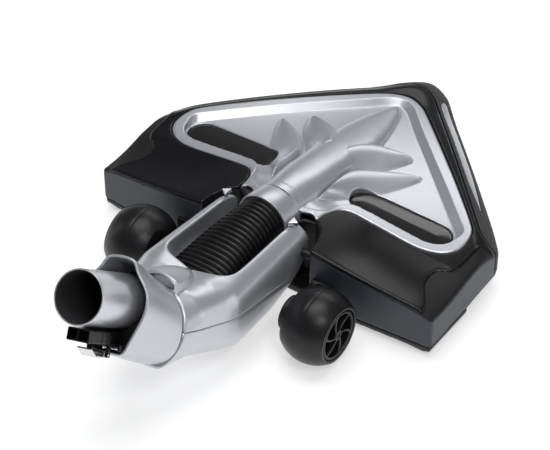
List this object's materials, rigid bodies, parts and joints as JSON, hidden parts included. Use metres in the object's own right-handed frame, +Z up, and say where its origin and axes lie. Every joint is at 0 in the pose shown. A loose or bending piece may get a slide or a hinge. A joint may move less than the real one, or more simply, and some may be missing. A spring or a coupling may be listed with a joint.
{
  "type": "vacuum cleaner power nozzle",
  "caption": "Motorised vacuum floor head: arrow-shaped body with a driven brush roller, ball wheels, pitching yoke with ribbed hose and a swivelling elbow with a wand stub.",
  "frame": {"origin": "middle of the bounding box on the floor plane", "axes": "+Y from the wand stub towards the nose of the head, +X towards the right side, +Z up"},
  "size_m": [0.3, 0.4586, 0.149],
  "materials": {
    "silver_paint": "satin silver paint on moulded plastic",
    "black_shell": "satin black moulded plastic",
    "grey_shell": "fine-grained blue-grey plastic",
    "dark_plastic": "black moulded plastic",
    "soft_bumper": "soft-touch elastomer",
    "rubber": "black rubber",
    "tyre_rubber": "satin black rubber",
    "smoked_window": "clear smoked plastic",
    "steel": "bright plated steel",
    "wand_aluminium": "drawn satin tube",
    "bronze": "sintered bushing",
    "contact_brass": "bright",
    "bristle": "red nylon tufts",
    "board": "solder mask"
  },
  "bodies": {
    "head": {"base_housing": "grey_shell", "sole_plate": "dark_plastic", "sole_screw_1": "steel", "sole_screw_2": "steel", "sole_screw_3": "steel", "sole_screw_4": "steel", "top_cover": "black_shell", "bumper_strip": "soft_bumper", "badge_left": "silver_paint", "badge_right": "silver_paint", "face_plate": "silver_paint", "window_left": "smoked_window", "window_right": "smoked_window", "tunnel_ring": "silver_paint", "air_duct": "dark_plastic", "brush_bearing_left": "bronze", "brush_bearing_right": "bronze", "motor": "steel", "motor_cradle": "dark_plastic", "drive_belt": "rubber", "circuit_board": "board", "board_mount": "dark_plastic", "wheel_bracket_left": "dark_plastic", "wheel_bracket_right": "dark_plastic", "wheel_axle_left": "steel", "wheel_axle_right": "steel", "pivot_pin_left": "steel", "pivot_pin_right": "steel"},
    "yoke": {"yoke_upper": "silver_paint", "yoke_lower": "silver_paint", "neck_hose": "rubber", "swivel_sleeve": "dark_plastic", "swivel_gasket": "rubber"},
    "elbow": {"elbow_collar": "silver_paint", "socket_insert": "dark_plastic", "wand_stub": "wand_aluminium", "connector_block": "black_shell", "contact_pin_left": "contact_brass", "contact_pin_right": "contact_brass", "latch_axle": "steel", "lock_pin": "steel"},
    "latch": {"latch": "silver_paint"},
    "brush": {"brush_roller": "dark_plastic", "bristle_row_1": "bristle", "bristle_row_2": "bristle", "brush_pulley": "dark_plastic"},
    "motor_rotor": {"motor_shaft": "steel", "motor_pulley": "dark_plastic"},
    "wheel_left": {"wheel_ball_left": "tyre_rubber", "wheel_hub_left": "dark_plastic"},
    "wheel_right": {"wheel_ball_right": "tyre_rubber", "wheel_hub_right": "dark_plastic"}
  },
  "joints": [
    {"name": "neck_pitch", "type": "hinge", "parent": "head", "child": "yoke", "pos_m": [0, -0.01551, 0.05], "axis": [-1, 0, 0], "range_deg": [0, 45], "deforming": ["neck_hose"]},
    {"name": "elbow_swivel", "type": "hinge", "parent": "yoke", "child": "elbow", "pos_m": [0, -0.15631, 0.0639], "axis": [0, -0.766, 0.6428], "range_deg": [-103, 77]},
    {"name": "latch_hinge", "type": "hinge", "parent": "elbow", "child": "latch", "pos_m": [0.00459, -0.20969, 0.08274], "axis": [0.9744, 0.1446, 0.1723], "range_deg": [0, 18], "stiffness_Nm_per_rad": 0.06, "springref_deg": -11.46},
    {"name": "brush_spin", "type": "hinge", "parent": "head", "child": "brush", "pos_m": [0, 0.06249, 0.02], "axis": [1, 0, 0], "continuous": true},
    {"name": "motor_spin", "type": "hinge", "parent": "head", "child": "motor_rotor", "pos_m": [0, 0.01049, 0.029], "axis": [1, 0, 0], "continuous": true},
    {"name": "wheel_left_spin", "type": "hinge", "parent": "head", "child": "wheel_left", "pos_m": [0, -0.05551, 0.0289], "axis": [1, 0, 0], "continuous": true},
    {"name": "wheel_right_spin", "type": "hinge", "parent": "head", "child": "wheel_right", "pos_m": [0, -0.05551, 0.0289], "axis": [1, 0, 0], "continuous": true}
  ],
  "couplings": [
    {"joint": "motor_spin", "follows": "brush_spin", "ratio": 2}
  ]
}
